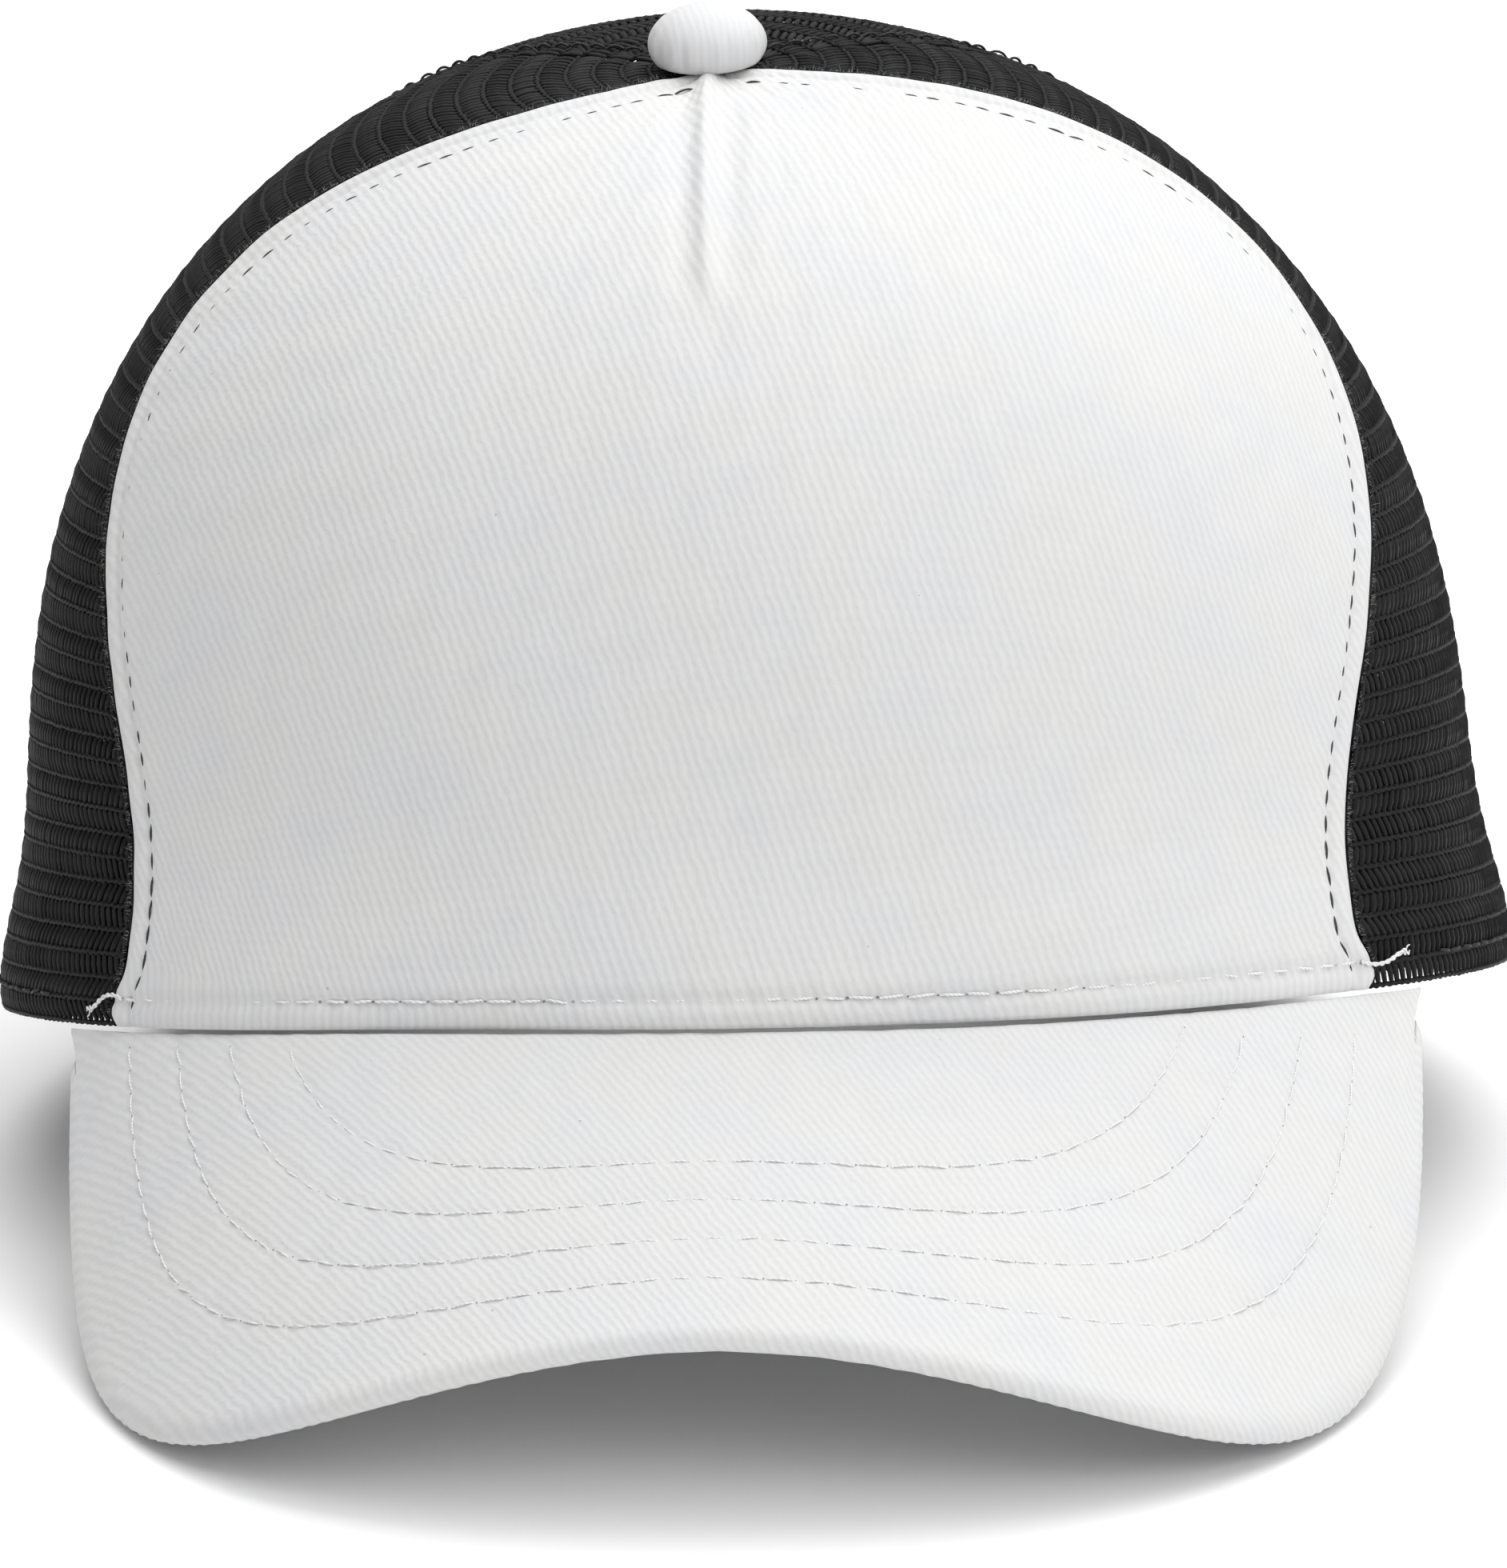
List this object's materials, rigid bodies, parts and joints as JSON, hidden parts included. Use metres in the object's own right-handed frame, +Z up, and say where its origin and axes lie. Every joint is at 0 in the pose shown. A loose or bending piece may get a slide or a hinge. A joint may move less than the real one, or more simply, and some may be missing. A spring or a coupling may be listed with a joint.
{
  "type": "trucker mesh cap",
  "caption": "Five-panel trucker cap with a stiff twill front, knitted mesh sides and back, a curved stitched visor, a covered button and a snap closure that opens at the back.",
  "frame": {"origin": "middle of the cap's length and width on the table it rests on: the table is z = 0", "axes": "+Z up, -Y towards the visor (the front), +X to the right of someone who faces the front; the cap lies leaned back on its two visor tips and the back of its hem"},
  "size_m": [0.2055, 0.2385, 0.1536],
  "materials": {
    "white_twill": "brushed cotton twill",
    "buckram": "stiff woven lining",
    "black_mesh": "warp-knit polyester net",
    "black_tape": "woven tape",
    "sweatband_cloth": "brushed twill band",
    "band_foam": "thin foam pad",
    "label_cloth": "satin label, blank",
    "visor_plastic": "moulded sheet",
    "button_metal": "pressed tin",
    "snap_plastic": "moulded, slightly glossy"
  },
  "bodies": {
    "crown": {"band_padding": "band_foam", "button_cover": "white_twill", "button_prong": "button_metal", "button_shell": "button_metal", "care_label": "label_cloth", "front_buckram": "buckram", "front_panel": "white_twill", "mesh_rear_left": "black_mesh", "mesh_rear_right": "black_mesh", "mesh_side_left": "black_mesh", "mesh_side_right": "black_mesh", "rear_arch_binding": "black_tape", "seam_tape_front_left": "black_tape", "seam_tape_front_right": "black_tape", "seam_tape_rear": "black_tape", "seam_tape_side_left": "black_tape", "seam_tape_side_right": "black_tape", "strap_holes_root": "snap_plastic", "strap_pegs_root": "snap_plastic", "sweatband": "sweatband_cloth", "visor_board": "visor_plastic", "visor_top_cover": "white_twill", "visor_under_cover": "white_twill"},
    "hole_tab": {"strap_holes_tab": "snap_plastic"},
    "peg_tab": {"strap_pegs_tab": "snap_plastic"}
  },
  "joints": [
    {"name": "hole_tab_flex", "type": "hinge", "parent": "crown", "child": "hole_tab", "pos_m": [0.02624, 0.10583, 0.01357], "axis": [0.0287, -0.1097, -0.9936], "range_deg": [0, 50], "stiffness_Nm_per_rad": 0.02},
    {"name": "peg_tab_flex", "type": "hinge", "parent": "crown", "child": "peg_tab", "pos_m": [-0.02655, 0.10399, 0.01225], "axis": [0.0287, -0.1097, -0.9936], "range_deg": [0, 40], "stiffness_Nm_per_rad": 0.02}
  ]
}
